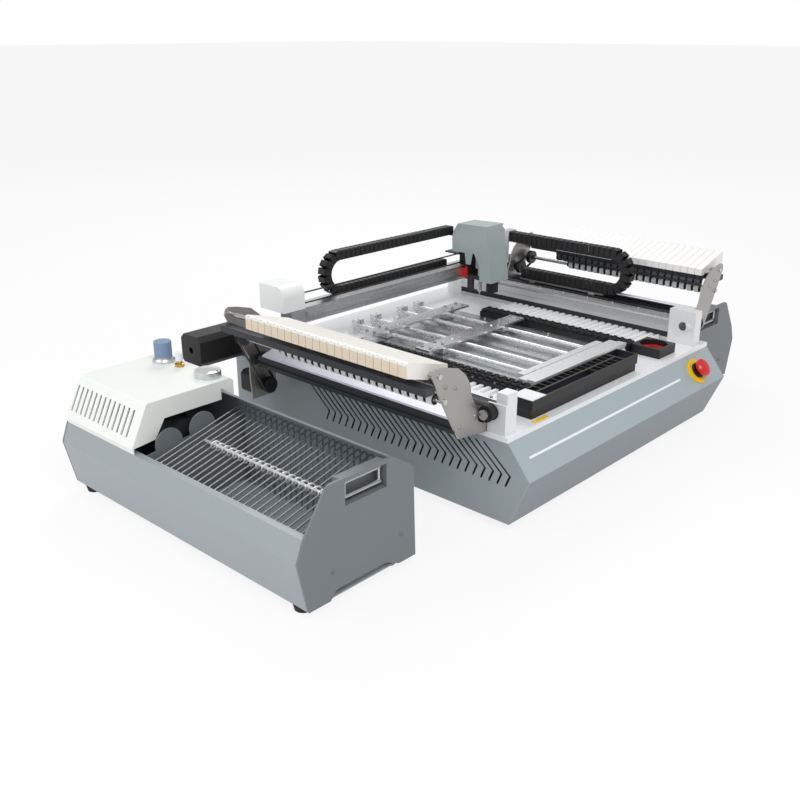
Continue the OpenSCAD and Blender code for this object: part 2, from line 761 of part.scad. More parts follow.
module tray_end_outline() {
    polygon([[-372.7, foot_h], [-333.7, foot_h], [-321.8, foot_h + 13], [-226.4, foot_h + 13], [-199.3, foot_h],
        [-tray_inner, foot_h], [-169, 160], [-206, 185], [-215, 188], [-323.5, 188], [-332, 187.3], [-337.5, 184],
        [-377, 125], [-tray_outer, 93]]);
}

// The sheet shell: outer wall with its crease, floor, inner wall, and a rolled edge on each wall.
module tray_shell_outline() {
    t = sheet;
    polygon([[-372.7, foot_h], [-tray_outer, 93], [-377, 125], [-365, 125], [-365, 125 - t], [-376, 125 - t],
        [-tray_outer + t, 93], [-372.7 + t, foot_h + t], [-tray_inner - t, foot_h + t], [-169 - t, 160],
        [-206, 185 - 2 * t], [-206, 185], [-169, 160], [-tray_inner, foot_h]]);
}

// The right tray is cut down along its inner wall, because the right rack stands over it.
module rack_relief(k) {
    if (k == 1) translate([-208.6, 160]) square([60, 40]);
}

module tray_shells() machine() color("slategray") {
    for (k = [0, 1]) tray_place(k) along_y(tray_y + 2 * sheet, tray_len - 4 * sheet) difference() {
        tray_shell_outline();
        rack_relief(k);
    }
}

module tray_end_plates() machine() color("slategray") {
    for (k = [0, 1]) tray_place(k) {
        for (y = [tray_y, tray_y + tray_len - 2 * sheet]) difference() {
            along_y(y, 2 * sheet) difference() {
                tray_end_outline();
                rack_relief(k);
            }
            if (y == tray_y) translate([handle_at[0] - handle_w / 2, y - 1, handle_at[1] - handle_drop])
                cube([handle_w, 2 * sheet + 2, handle_drop]);
        }
        // the dish behind the handle
        difference() {
            translate([handle_at[0] - handle_w / 2 - 3, tray_y + 2 * sheet, handle_at[1] - handle_drop - 3])
                cube([handle_w + 6, 16, handle_drop + 6]);
            translate([handle_at[0] - handle_w / 2, tray_y, handle_at[1] - handle_drop])
                cube([handle_w, 4 * sheet + 10, handle_drop]);
            rod_x([handle_at[0] - handle_w / 2 - 4, handle_y, hinge_z], handle_w + 8, handle_r + run_fit);
        }
        for (p = [[-329, foot_h + 44], [-194, foot_h + 46]]) screw([p[0], tray_y, p[1]], [90, 0, 0]);
        partition();
    }
}

// The partition with two round ears that guides the last reels.
module partition() {
    along_y(partition_y, sheet) {
        polygon([[-369, foot_h + sheet], [-386, 93], [-376, 120], [-315, 128], [-185, 138], [-172, 138],
            [-167, foot_h + sheet]]);
        for (ear = [[-256, 139], [-320, 130]]) translate(ear) circle(r = 25);
    }
}

// A bail that hangs from its hinge pins in the dish's side walls.
module handle(k) tray_place(k) {
    w = handle_w - 8;
    rod_x([handle_at[0] - handle_w / 2 - 2.5, handle_y, hinge_z], handle_w + 5, handle_r);
    for (s = [-1, 1]) rod_z([handle_at[0] + s * (w / 2 - handle_r), handle_y, hinge_z - 21], 21, handle_r);
    rod_x([handle_at[0] - w / 2, handle_y, hinge_z - 21], w, handle_r + 1);
}

module left_tray_handle() machine() color("silver") handle(0);
module right_tray_handle() machine() color("silver") handle(1);

// Reel dividers: a comb of bent wires across each tray, and a coil that lies across them.
module reel_dividers() machine() {
    for (k = [0, 1]) tray_place(k) {
        for (i = [0 : wires - 1]) color("silver") translate([0, wire_y0 + i * wire_gap, 0]) divider_wire();
        // coil: a core from the end plate, with one turn between each pair of wires
        color("whitesmoke") rod_y([coil_x, tray_y + 2 * sheet, coil_z],
            wire_y0 - tray_y + wire_gap * (wires - 5), 2.5);
        for (i = [0 : wires - 6]) color("whitesmoke")
            rod_y([coil_x, wire_y0 + (i + 0.5) * wire_gap - 2.5, coil_z], 5, 8);
    }
}

// A wire rises from the outer wall's rim to its bend under the inner lip, then drops to the floor.
module divider_wire() {
    translate([wire_from[0], 0, wire_from[1]]) rotate([0, -wire_slope, 0])
        rod_x([0, 0, 0], norm(wire_to - wire_from), wire_r, $fn = 16);
    rod_z([wire_to[0], 0, foot_h + sheet], wire_to[1] - foot_h - sheet, wire_r, $fn = 16);
}

// ---------- vacuum unit ----------

module vacuum_pump() machine() tray_place(0) {
    color("dimgray") translate([-315, cover_y0 + 55, foot_h + sheet]) cube([90, 110, 60]);
    color("black") rod_y([-270, cover_y0 + 10, 120], 45, 30);
    color("silver") rod_y([-270, cover_y0 + 55, 120], 90, 34);
    color("silver") translate([-290, cover_y0 + 80, foot_h + sheet + 60]) cube([40, 60, 20]);
}

// The hood's inside, which its two ends fill down to their lower edge.
function hood_inside(t) = [[-376, 134], [-345.5, cover_top - 3], [-343.6, cover_top - t], [-188, cover_top - t],
    [-181 - t, cover_top - 5], [-181 - t, lip_z], [-206.5, 187]];

module pump_cover() machine() tray_place(0) color("honeydew") {
    len = tray_y + tray_len - 2 * sheet - 0.2 - cover_y0;
    t = 1.6;
    difference() {
        along_y(cover_y0, len) polygon([[-377, 125], [-379, 134], [-347, cover_top - 2], [-344, cover_top],
            [-187, cover_top], [-181, cover_top - 5], [-181, lip_z], [-181 - t, lip_z], [-181 - t, cover_top - 5],
            [-188, cover_top - t], [-343.6, cover_top - t], [-345.5, cover_top - 3], [-377 + t, 134], [-377 + t, 125]]);
        for (i = [0 : 12]) translate([-365, cover_y0 + 22 + i * 13.5, 167]) rotate([0, atan2(33, 66), 0])
            translate([-8, 0, -22]) cube([16, 5, 44]);
        for (p = [[knob_at, 8], [valve_at, 6.5], [gauge_at, 16]]) rod_z([p[0][0], p[0][1], cover_top - 5], 10, p[1]);
    }
    along_y(cover_y0, t) polygon(concat(hood_inside(t), [[-206.5, 168], [-317, 168], [-336, 138]]));
    along_y(cover_y0 + len - t, t) polygon(concat(hood_inside(t), [[-206.5, 152]]));
}

module air_fittings() machine() tray_place(0) {
    color("gainsboro") translate([knob_at[0], knob_at[1], cover_top]) rotate_extrude() polygon([[2, -14], [7.5, -14],
        [7.5, 0], [19, 0], [19, 4], [17, 7], [14, 7], [14, 9], [2, 9]]);
    color("gold") translate([valve_at[0], valve_at[1], cover_top]) rotate_extrude() polygon([[2, -12], [6, -12],
        [6, 0], [8, 0], [8, 5], [5, 6], [5, 10], [2, 10]]);
    color("whitesmoke") translate([gauge_at[0], gauge_at[1], cover_top]) rotate_extrude() polygon([[2, -16], [8, -16],
        [15.5, -6], [15.5, 0], [22, 0], [22, 11], [19.5, 11], [19.5, 7], [2, 7]]);
}

module regulator_knob() machine() tray_place(0) color("lightsteelblue") translate([knob_at[0], knob_at[1], cover_top]) {
    translate([0, 0, 9.2]) linear_extrude(27) difference() {
        circle(r = 15);
        for (i = [0 : 23]) rotate(i * 15) translate([15.4, 0]) circle(r = 0.9, $fn = 8);
    }
    translate([0, 0, -10]) cylinder(h = 20, r = 2 - run_fit);
}

module valve_knob() machine() tray_place(0) color("lightgray") translate([valve_at[0], valve_at[1], cover_top]) {
    translate([0, 0, 10.2]) linear_extrude(14) difference() {
        circle(r = 6.5);
        for (i = [0 : 15]) rotate(i * 22.5) translate([6.8, 0]) circle(r = 0.7, $fn = 8);
    }
    translate([0, 0, -8]) cylinder(h = 19, r = 2 - run_fit);
}

module gauge_needle() machine() tray_place(0) color("black") translate([gauge_at[0], gauge_at[1], cover_top]) {
    translate([0, 0, -8]) cylinder(h = 17, r = 2 - run_fit);
    rotate(225) translate([-5, -0.8, 7.6]) cube([21, 1.6, 0.8]);
}

// ---------- gantry ----------

beam_x0 = left_beam_x;
beam_len = right_beam_x + y_beam_w - left_beam_x;

module gantry_beam() machine() {
    color("silver") along_x(beam_x0, beam_len) translate([beam_y, beam_z]) difference() {
        square([beam_t, beam_h]);
        translate([-1, 6]) square([2.5, 5]);
        translate([-1, 24]) square([1.8, 1.6]);
        translate([9, -1]) square([12, 4]);
    }
    // linear rail on the front face
    color("gainsboro") translate([beam_x0 + 35, beam_y - rail_front, beam_z + 11]) cube([beam_len - 60, rail_front, 10]);
    // shelf for the cable chain
    color("silver") along_x(beam_x0 + 60, beam_len - 110) translate([beam_y + beam_t, beam_z])
        polygon([[0, 16], [0, beam_h - 6], [28, beam_h - 6], [28, beam_h - 8], [2, beam_h - 8], [2, 16]]);
    // post at the right end that carries the idler and the Y chain
    color("silver") difference() {
        translate([x_idler_x - 14, beam_y + 12, beam_z + beam_h]) cube([28, 6, 34]);
        rod_y([x_idler_x, beam_y + 8, x_belt_z], 20, axle_r);
    }
    color("silver") rod_y([x_idler_x, beam_y - 2, x_belt_z], 22, axle_r);
}

// Carriages on the two Y rails, with a belt clamp on the outside of each.
module gantry_ends() machine() {
    for (side = [[left_beam_x, -1, left_belt_x], [right_beam_x, 1, right_belt_x]]) {
        x = side[0];
        rail_x = x + (y_beam_w - rail_w) / 2;
        color("gainsboro") difference() {
            translate([x, beam_y - 6, y_beam_top + 2.5]) cube([y_beam_w, beam_t + 22, beam_z - y_beam_top - 2.5]);
            translate([rail_x - air, beam_y - 8, y_beam_top]) cube([rail_w + 2 * air, beam_t + 26, rail_h + air]);
        }
        color("dimgray") difference() {
            translate([side[1] < 0 ? side[2] - 8 : x + y_beam_w, beam_y + 2, y_beam_top + 2.5])
                cube([side[1] < 0 ? x - side[2] + 8 : side[2] + 8 - x - y_beam_w, 26, 16]);
            translate([side[2] - belt_w / 2 - air, beam_y, shaft_z + pulley_r - 1])
                cube([belt_w + 2 * air, 30, belt_t + 2.5]);
        }
    }
    // cranked arm that pulls the Y chain's upper run
    arm = right_beam_x + y_beam_w;
    top = y_chain_low_z + 2 * y_chain_r + y_link_h / 2;
    color("dimgray") along_y(y_chain_moving_y - 20, 20) polygon([[arm, beam_z + 8], [y_chain_x - 2, beam_z + 8],
        [y_chain_x - 2, top], [y_chain_x + y_link_w, top], [y_chain_x + y_link_w, top + 3],
        [y_chain_x - 5, top + 3], [y_chain_x - 5, beam_z + 12], [arm, beam_z + 12]]);
}

motor_cover_lo = [x_motor_x - 25, beam_y - 3, beam_z + beam_h];

module x_motor_cover() machine() color("whitesmoke") {
    h = 46;
    w = 50;
    d = 65;
    t = 2;
    translate(motor_cover_lo) difference() {
        along_x(0, w) cover_side(d, h, 18);
        translate([0, 0, 0]) along_x(t, w - t + 1) translate([t, -1]) cover_side(d - 2 * t, h - t + 1, 16);
    }
}

module cover_side(d, h, r) {
    difference() {
        square([d, h]);
        translate([0, h - r]) difference() {
            translate([-1, 0]) square([r + 1, r + 1]);
            translate([r, 0]) circle(r = r);
        }
    }
}

module x_motor() machine() {
    color("black") difference() {
        translate([x_motor_x - 20, beam_y + 19, beam_z + beam_h]) cube([40, 38, 38]);
        rod_y([x_motor_x, beam_y + 15, x_belt_z], 30, 2.5 + run_fit);
    }
}

module x_drive_pulley() machine() color("dimgray") {
    translate([x_motor_x, x_belt_y, x_belt_z]) rotate([90, 0, 0]) toothed_pulley(x_pulley_r, 8, 2.5);
    rod_y([x_motor_x, x_belt_y - 4, x_belt_z], 28, 2.5);
}

module x_idler() machine() color("dimgray") {
    translate([x_idler_x, x_belt_y, x_belt_z]) rotate([90, 0, 0]) toothed_pulley(x_pulley_r, 8, axle_r + run_fit);
}

module x_belt() machine() color("black") {
    along_y(x_belt_y - 2.5, 5) belt_outline([x_motor_x, x_belt_z], [x_idler_x, x_belt_z], x_pulley_r);
}

// ---------- cable chains ----------

// A chain outline in its own plane: lower run, half-round curl, upper run.
module chain_outline(curl, low_end, top_end, low, r, h) {
    translate([curl, low + r]) half_ring(r - h / 2, r + h / 2);
    translate([curl, low - h / 2]) square([low_end - curl, h]);
    translate([curl, low + 2 * r - h / 2]) square([top_end - curl, h]);
}

module x_cable_chain() machine() color("black") {
    along_y(chain_y - link_w / 2, link_w)
        chain_outline(chain_curl_x, chain_end_x, head_x + 16, chain_low_z, chain_r, link_h);
}

module y_cable_chain() machine() color("black") {
    along_x(y_chain_x, y_link_w)
        chain_outline(y_chain_curl_y, y_chain_fixed_y, y_chain_moving_y, y_chain_low_z, y_chain_r, y_link_h);
}

// ---------- head ----------

module head_plate() machine() {
    color("dimgray") translate([head_x + cover_t, plate_y, head_bottom]) cube([head_w - 2 * cover_t, 5, 90]);
    // rail carriages with red end seals
    color("gainsboro") for (x = [head_x + 4, head_x + head_w - 4 - carriage_w]) carriage(x, carriage_w, 20);
    color("firebrick") for (x = [head_x + 1.5, head_x + head_w - 3.5]) carriage(x, 2, 18);
    // belt clamp over the front runs, and the arm that pulls the chain's upper run
    color("dimgray") difference() {
        translate([head_x + 14, plate_y + 5, beam_z + beam_h + 1]) cube([30, 26, 32]);
        translate([head_x + 13, x_belt_y - 3, x_belt_z - x_pulley_r - belt_t - 0.5]) cube([32, 6, belt_t + 1]);
        translate([head_x + 13, x_belt_y - 3, x_belt_z + x_pulley_r - 0.5]) cube([32, 6, belt_t + 1]);
    }
    under = chain_low_z + 2 * chain_r - link_h / 2;
    over = chain_low_z + link_h / 2 + 9;
    chain_back = chain_y + link_w / 2;
    color("dimgray") along_x(head_x + 14, 30) polygon([[plate_y + 28, over], [chain_back, over],
        [chain_back, over + 3], [plate_y + 34, over + 3], [plate_y + 34, under - 3], [chain_back, under - 3],
        [chain_back, under], [plate_y + 30, under], [plate_y + 30, over + 3]]);
    // guide that holds the camera and the nozzle slides
    color("black") difference() {
        translate([head_x + cover_t + 1, camera_at[1] - 7, guide_z])
            cube([head_w - 2 * cover_t - 2, plate_y - camera_at[1] + 7, 8]);
        for (i = [0, 1]) rod_z([nozzle_x + i * nozzle_gap, nozzle_y, guide_z - 1], 10, 5 + run_fit);
        rod_z([camera_at[0], camera_at[1], guide_z - 1], 10, camera_r);
    }
    color("black") translate([head_x + 4, nozzle_y + 15, nozzle_tip_z + 8]) cube([6, 14, guide_z - nozzle_tip_z - 8]);
}

// A carriage that wraps the gantry's linear rail.
module carriage(x, w, h) {
    difference() {
        translate([x, plate_y + 5, beam_z + 16 - h / 2]) cube([w, 12.5, h]);
        translate([x - 1, beam_y - rail_front - air / 2, beam_z + 11 - air / 2]) cube([w + 2, 10, 10 + air]);
    }
}

module head_cover() machine() color("darkseagreen") {
    t = cover_t;
    back = head_y + head_d;
    low = head_bottom + 32;
    difference() {
        along_x(head_x, head_w) polygon([[head_y, head_bottom], [head_y + 16, head_top], [back - 15, head_top - 2],
            [back - 3, head_top - 19], [back, head_top - 35], [back - 1, head_top - 63], [head_y + 30, head_bottom]]);
        along_x(head_x + t, head_w - 2 * t) polygon([[head_y + t, head_bottom - 1], [head_y + 16 + t, head_top - t],
            [back - 16, head_top - 2 - t], [back - 4, head_top - 19 - t], [back + 13, head_top - 35],
            [back + 13, head_bottom - 1]]);
        along_x(head_x - 1, head_w + 2) polygon([[head_y + 30.5, head_bottom - 1], [head_y + 33, low],
            [head_y + 47, low + 25], [head_y + 51, low + 25], [head_y + 56, low], [head_y + 68, low],
            [head_y + 72, low + 23], [back + 13, low + 23], [back + 13, head_bottom - 1]]);
        // chamfer on the top right edge
        translate([head_x + head_w, head_y - 5, head_top - 12]) rotate([0, 45, 0]) translate([-10, 0, 0])
            cube([40, 130, 30]);
    }
    // the cut edge is closed again by a narrow sloping face
    translate([head_x + head_w - 12.5, 0, 0]) intersection() {
        along_x(-t, 14) polygon([[head_y, head_bottom], [head_y + 16, head_top], [back - 15, head_top - 2],
            [back - 3, head_top - 19], [back - 3, head_top - 53], [head_y + 16, head_top - 53]]);
        translate([12.5, head_y - 5, head_top - 12]) rotate([0, 45, 0]) translate([-13, 0, -t]) cube([26, 130, t]);
    }
}

module nozzle_slide(i) {
    x = nozzle_x + i * nozzle_gap;
    difference() {
        union() {
            color("silver") rod_z([x, nozzle_y, guide_z - 10], 34, 5);
            color("gray") translate([x - 6, nozzle_y - 6, guide_z + 24]) cube([12, 14, slide_h]);
        }
        rod_z([x, nozzle_y, guide_z - 11], 60, 2.5 + run_fit);
    }
}

module nozzle(i) {
    x = nozzle_x + i * nozzle_gap;
    color("silver") {
        rod_z([x, nozzle_y, nozzle_tip_z + 18], 40, 2.5);
        translate([x, nozzle_y, nozzle_tip_z]) rotate_extrude() polygon([[0, 0], [0.8, 0], [1.1, 8], [4, 10], [4.6, 12],
            [4.6, 22], [0, 22]]);
    }
}

module nozzle_1_slide() machine() nozzle_slide(0);
module nozzle_2_slide() machine() nozzle_slide(1);
module nozzle_1() machine() nozzle(0);
module nozzle_2() machine() nozzle(1);

module down_camera() machine() {
    color("black") difference() {
        rod_z([camera_at[0], camera_at[1], nozzle_tip_z + 9], 42, camera_r);
        rod_z([camera_at[0], camera_at[1], nozzle_tip_z + 8], 8, camera_r - 4);
    }
}

// The air hose arches from the first nozzle's slide back to the head plate.
module air_tube() machine() color("deepskyblue") {
    slide_top = guide_z + 24 + slide_h + 0.1;
    r = plate_y - nozzle_y;
    translate([nozzle_x, plate_y, slide_top]) rotate([90, 0, 90]) rotate(90)
        rotate_extrude(angle = 90) translate([r, 0]) circle(r = 2, $fn = 24);
}

front_panel();
side_panels();
base_pan();
deck_plate();
feet();
y_beams();
bearing_blocks();
y_motor();
y_belts();
pcb_bed();
bed_rods();
front_rail();
tape_guides();
parts_tray();
up_camera();
estop_base();
rack_end_plates();
rack_bars();
take_up_drives();
tray_shells();
tray_end_plates();
reel_dividers();
vacuum_pump();
pump_cover();
air_fittings();
y_cable_chain();
regulator_knob();
valve_knob();
gauge_needle();
left_tray_handle();
right_tray_handle();
back_bar();
middle_bar();
estop_plunger();
estop_cap();
left_levers();
right_levers();
left_roller();
right_roller();
left_pinion();
right_pinion();
left_idler();
right_idler();
y_drive_shaft();
gantry_beam();
gantry_ends();
x_motor_cover();
x_motor();
x_drive_pulley();
x_idler();
x_belt();
x_cable_chain();
head_plate();
head_cover();
nozzle_1_slide();
nozzle_1();
nozzle_2_slide();
nozzle_2();
down_camera();
air_tube();
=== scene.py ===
import math
import bmesh
import bpy
from mathutils import Matrix, Vector


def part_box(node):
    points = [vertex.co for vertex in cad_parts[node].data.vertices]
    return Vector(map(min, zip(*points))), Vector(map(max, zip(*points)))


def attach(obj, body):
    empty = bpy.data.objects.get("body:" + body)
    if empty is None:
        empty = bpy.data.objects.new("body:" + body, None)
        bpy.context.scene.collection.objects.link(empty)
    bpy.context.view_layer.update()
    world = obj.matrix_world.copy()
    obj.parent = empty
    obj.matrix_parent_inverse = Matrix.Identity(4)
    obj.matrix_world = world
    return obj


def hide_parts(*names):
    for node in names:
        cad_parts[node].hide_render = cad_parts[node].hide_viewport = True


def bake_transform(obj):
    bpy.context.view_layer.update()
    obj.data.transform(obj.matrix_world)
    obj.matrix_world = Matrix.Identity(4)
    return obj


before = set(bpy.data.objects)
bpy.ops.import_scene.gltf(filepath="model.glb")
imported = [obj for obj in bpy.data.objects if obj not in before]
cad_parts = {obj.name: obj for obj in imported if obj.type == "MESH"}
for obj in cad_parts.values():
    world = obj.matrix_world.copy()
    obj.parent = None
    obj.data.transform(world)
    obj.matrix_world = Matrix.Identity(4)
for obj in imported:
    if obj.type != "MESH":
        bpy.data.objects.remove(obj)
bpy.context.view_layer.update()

# The machine's own middle, from the deck plate: its left edge is 325 mm out, its front edge 307 mm forward.
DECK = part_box("deck_plate")
OX, OY = DECK[0][0] + 0.325, DECK[0][1] + 0.307


def P(x, y, z):
    """A point given in the machine's millimetres, in the row frame's metres."""
    return Vector((OX + x / 1000, OY + y / 1000, z / 1000))


# ---------- camera ----------

AZ, EL = math.radians(-47.149), math.radians(21.221)
BACK = Vector((math.sin(AZ) * math.cos(EL), -math.cos(AZ) * math.cos(EL), math.sin(EL)))
cam_data = bpy.data.cameras.new("camera")
cam_data.lens = 43.26
cam_data.sensor_width = 36
cam = bpy.data.objects.new("camera", cam_data)
cam.location = (-1.3416, -1.0880, 0.7361)
cam.rotation_euler = (-BACK).to_track_quat("-Z", "Y").to_euler()
bpy.context.collection.objects.link(cam)
bpy.context.scene.camera = cam
bpy.context.scene.view_settings.view_transform = "Standard"


# ---------- materials ----------

def lin(c):
    """A colour written in 0..255 screen values, as linear light."""
    return tuple((v / 255 / 12.92 if v / 255 <= 0.04045 else ((v / 255 + 0.055) / 1.055) ** 2.4) for v in c) + (1,)


def maths(nt, op, a, b=None):
    n = nt.nodes.new("ShaderNodeMath")
    n.operation = op
    for i, v in enumerate((a, b)):
        if v is None:
            continue
        if isinstance(v, (int, float)):
            n.inputs[i].default_value = v
        else:
            nt.links.new(v, n.inputs[i])
    return n.outputs[0]


def mask_of(nt, coord, zone):
    """1 inside the zone: ('box', low, high), ('rad', axis, centre, r) or ('dot', normal, distance)."""
    v = nt.nodes.new("ShaderNodeVectorMath")
    nt.links.new(coord, v.inputs[0])
    if zone[0] == "dot":
        v.operation = "DOT_PRODUCT"
        v.inputs[1].default_value = zone[1]
        return maths(nt, "GREATER_THAN", v.outputs["Value"], zone[2])
    v.operation = "SUBTRACT"
    if zone[0] == "box":
        lo, hi = Vector(zone[1]), Vector(zone[2])
        v.inputs[1].default_value = (lo + hi) / 2
        a = nt.nodes.new("ShaderNodeVectorMath")
        a.operation = "ABSOLUTE"
        nt.links.new(v.outputs[0], a.inputs[0])
        s = nt.nodes.new("ShaderNodeVectorMath")
        s.operation = "SUBTRACT"
        s.inputs[1].default_value = (hi - lo) / 2
        nt.links.new(a.outputs[0], s.inputs[0])
        x = nt.nodes.new("ShaderNodeSeparateXYZ")
        nt.links.new(s.outputs[0], x.inputs[0])
        m = maths(nt, "MAXIMUM", maths(nt, "MAXIMUM", x.outputs[0], x.outputs[1]), x.outputs[2])
        return maths(nt, "LESS_THAN", m, 0.0)
    v.inputs[1].default_value = zone[2]
    f = nt.nodes.new("ShaderNodeVectorMath")
    f.operation = "MULTIPLY"
    f.inputs[1].default_value = tuple(0 if "xyz"[i] == zone[1] else 1 for i in range(3))
    nt.links.new(v.outputs[0], f.inputs[0])
    length = nt.nodes.new("ShaderNodeVectorMath")
    length.operation = "LENGTH"
    nt.links.new(f.outputs[0], length.inputs[0])
    return maths(nt, "LESS_THAN", length.outputs["Value"], zone[3])


def material(name, color, rough=0.5, metal=0.0, grain=400, bump=0.08, vary=0.08, stretch=(1, 1, 1), zones=(), coat=0.0,
             clear=0.0):
    """A painted, moulded or metal surface: colour, gloss and relief vary with a fine grain and broad patches."""
    m = bpy.data.materials.new(name)
    m.use_nodes = True
    nt = m.node_tree
    b = nt.nodes["Principled BSDF"]
    b.inputs["Coat Weight"].default_value = coat
    b.inputs["Transmission Weight"].default_value = clear
    tc = nt.nodes.new("ShaderNodeTexCoord")
    coord = tc.outputs["Object"]
    mp = nt.nodes.new("ShaderNodeMapping")
    mp.inputs["Scale"].default_value = stretch
    nt.links.new(coord, mp.inputs[0])
    fine = nt.nodes.new("ShaderNodeTexNoise")
    fine.inputs["Scale"].default_value = grain
    fine.inputs["Detail"].default_value = 4
    nt.links.new(mp.outputs[0], fine.inputs["Vector"])
    broad = nt.nodes.new("ShaderNodeTexNoise")
    broad.inputs["Scale"].default_value = 14
    broad.inputs["Detail"].default_value = 3
    nt.links.new(coord, broad.inputs["Vector"])

    def rgb(c):
        n = nt.nodes.new("ShaderNodeRGB")
        n.outputs[0].default_value = lin(c)
        return n.outputs[0]

    col = rgb(color)
    ro = maths(nt, "MULTIPLY", 1.0, rough)
    me = maths(nt, "MULTIPLY", 1.0, metal)
    for zone, c, r, mt in zones:
        k = mask_of(nt, coord, zone)
        mix = nt.nodes.new("ShaderNodeMix")
        mix.data_type = "RGBA"
        nt.links.new(k, mix.inputs[0])
        nt.links.new(col, mix.inputs[6])
        nt.links.new(rgb(c), mix.inputs[7])
        col = mix.outputs[2]
        for which, val in (("r", r), ("m", mt)):
            f = nt.nodes.new("ShaderNodeMix")
            nt.links.new(k, f.inputs[0])
            nt.links.new(ro if which == "r" else me, f.inputs[2])
            f.inputs[3].default_value = val
            if which == "r":
                ro = f.outputs[0]
            else:
                me = f.outputs[0]
    tone = maths(nt, "ADD", maths(nt, "MULTIPLY", fine.outputs["Fac"], vary), maths(nt, "MULTIPLY", broad.outputs["Fac"], vary))
    tone = maths(nt, "ADD", tone, 1 - vary)
    sc = nt.nodes.new("ShaderNodeVectorMath")
    sc.operation = "SCALE"
    nt.links.new(col, sc.inputs[0])
    nt.links.new(tone, sc.inputs["Scale"])
    nt.links.new(sc.outputs[0], b.inputs["Base Color"])
    jitter = maths(nt, "ADD", ro, maths(nt, "MULTIPLY", maths(nt, "SUBTRACT", fine.outputs["Fac"], 0.5), 0.25))
    nt.links.new(jitter, b.inputs["Roughness"])
    if zones and any(z[3] != metal for z in zones):
        nt.links.new(me, b.inputs["Metallic"])
    else:
        b.inputs["Metallic"].default_value = metal
    bp = nt.nodes.new("ShaderNodeBump")
    bp.inputs["Strength"].default_value = bump
    bp.inputs["Distance"].default_value = 0.0005
    nt.links.new(fine.outputs["Fac"], bp.inputs["Height"])
    nt.links.new(bp.outputs[0], b.inputs["Normal"])
    return m


STEEL, WHITE, BLACK, DARK, RED = (200, 200, 202), (238, 239, 240), (26, 26, 28), (70, 72, 76), (190, 24, 30)
# the second grey is the same paint darkened as painted shade, for faces turned down and away from the light
PAINT, PAINT_IN_SHADE = (166, 178, 182), (122, 130, 136)


def box(lo, hi):
    return ("box", P(*lo), P(*hi))


def left_right(axis_x, z, r):
    """The same round zone on both racks, along Y."""
    return [("rad", "y", P(s * axis_x, 0, z), r) for s in (-1, 1)]


tilt = math.atan2(53, 43)
normal = Vector((0, -math.sin(tilt), math.cos(tilt)))
estop = P(243, -328.5, 123.5)

LEVER_ZONES_AND_SHADE = [(("rad", "y", P(s * 402, 0, 253), 0.0085), DARK, 0.45, 0.6) for s in (-1, 1)]
LEVER_ZONES_AND_SHADE += [(("box", P(-500, -300, 200), P(500, 300, 268.2)), DARK, 0.45, 0.6)]
# the left levers' outer face is beige: painted shade on the same ivory plastic, whose face is turned from the light
LEVER_ZONES_AND_SHADE += [(box((-487, -300, 270), (-483.5, 300, 299)), (222, 208, 186), 0.55, 0.0)]
ROLL = []
for s in (-1, 1):
    ROLL += [(("rad", "y", P(s * 425, 0, 235), 0.0085), BLACK, 0.6, 0.0), (("rad", "y", P(s * 425, 0, 235), 0.0045), STEEL, 0.3, 1.0)]
ROLL += [(box((-500, 180, 200), (500, 198, 270)), DARK, 0.4, 0.7)]

